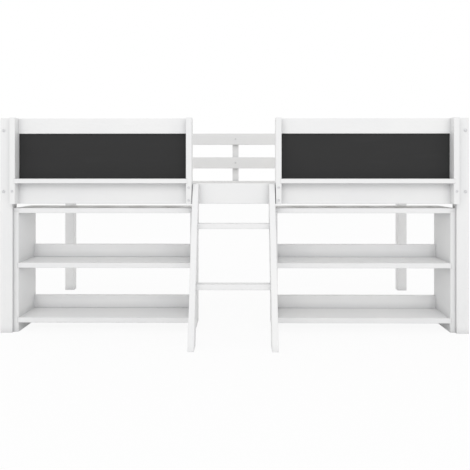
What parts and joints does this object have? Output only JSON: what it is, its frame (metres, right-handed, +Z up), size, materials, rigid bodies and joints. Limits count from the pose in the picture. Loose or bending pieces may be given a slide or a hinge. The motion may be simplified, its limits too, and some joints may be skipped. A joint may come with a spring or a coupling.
{
  "type": "mid sleeper bed",
  "caption": "White mid sleeper bed with a slatted base, end panels, back guard rails, chalkboard front guards, a sloping ladder and loose open bookcases underneath.",
  "frame": {"origin": "on the floor, under the centre of the outer box", "axes": "+X along the bed to its right end seen from the ladder, +Y from the ladder to the back, +Z up"},
  "size_m": [2.015, 1.2466, 0.923],
  "materials": {
    "white_lacquer": "satin white lacquer on sanded boards",
    "chalkboard": "matt black chalkboard paint on hardboard",
    "pine": "planed pine with a thin white stain, the grain showing",
    "steel": "bright zinc-plated steel"
  },
  "bodies": {
    "bed_frame": {"back_guard_post": "white_lacquer", "back_guard_rail_lower": "white_lacquer", "back_guard_rail_upper": "white_lacquer", "chalk_ledge_left": "white_lacquer", "chalk_ledge_right": "white_lacquer", "chalkboard_left": "chalkboard", "chalkboard_right": "chalkboard", "cross_dowels": "steel", "end_panel_left": "white_lacquer", "end_panel_right": "white_lacquer", "frame_bolts": "steel", "guard_screws": "steel", "guard_top_board_left": "white_lacquer", "guard_top_board_right": "white_lacquer", "guard_upright_left_inner": "white_lacquer", "guard_upright_left_outer": "white_lacquer", "guard_upright_right_inner": "white_lacquer", "guard_upright_right_outer": "white_lacquer", "ladder_screws": "steel", "ladder_stile_left": "white_lacquer", "ladder_stile_right": "white_lacquer", "ladder_tread_lower": "white_lacquer", "ladder_tread_upper": "white_lacquer", "leg_back_left": "white_lacquer", "leg_back_right": "white_lacquer", "leg_front_left": "white_lacquer", "leg_front_right": "white_lacquer", "side_rail_back": "white_lacquer", "side_rail_front": "white_lacquer", "slat_01": "pine", "slat_02": "pine", "slat_03": "pine", "slat_04": "pine", "slat_05": "pine", "slat_06": "pine", "slat_07": "pine", "slat_08": "pine", "slat_09": "pine", "slat_10": "pine", "slat_11": "pine", "slat_12": "pine", "slat_13": "pine", "slat_ledger_back": "pine", "slat_ledger_front": "pine"},
    "bookcase_left": {"bookcase_left_bottom_back_board": "white_lacquer", "bookcase_left_bottom_shelf": "white_lacquer", "bookcase_left_inner_side": "white_lacquer", "bookcase_left_middle_back_board": "white_lacquer", "bookcase_left_middle_shelf": "white_lacquer", "bookcase_left_outer_side": "white_lacquer", "bookcase_left_top": "white_lacquer"},
    "bookcase_right": {"bookcase_right_bottom_back_board": "white_lacquer", "bookcase_right_bottom_shelf": "white_lacquer", "bookcase_right_inner_side": "white_lacquer", "bookcase_right_middle_back_board": "white_lacquer", "bookcase_right_middle_shelf": "white_lacquer", "bookcase_right_outer_side": "white_lacquer", "bookcase_right_top": "white_lacquer"}
  },
  "joints": [
    {"name": "bookcase_left_slide", "type": "slide", "parent": "bed_frame", "child": "bookcase_left", "axis": [0, 1, 0], "range_m": [0, 0.98]},
    {"name": "bookcase_right_slide", "type": "slide", "parent": "bed_frame", "child": "bookcase_right", "axis": [0, 1, 0], "range_m": [0, 0.98]}
  ]
}
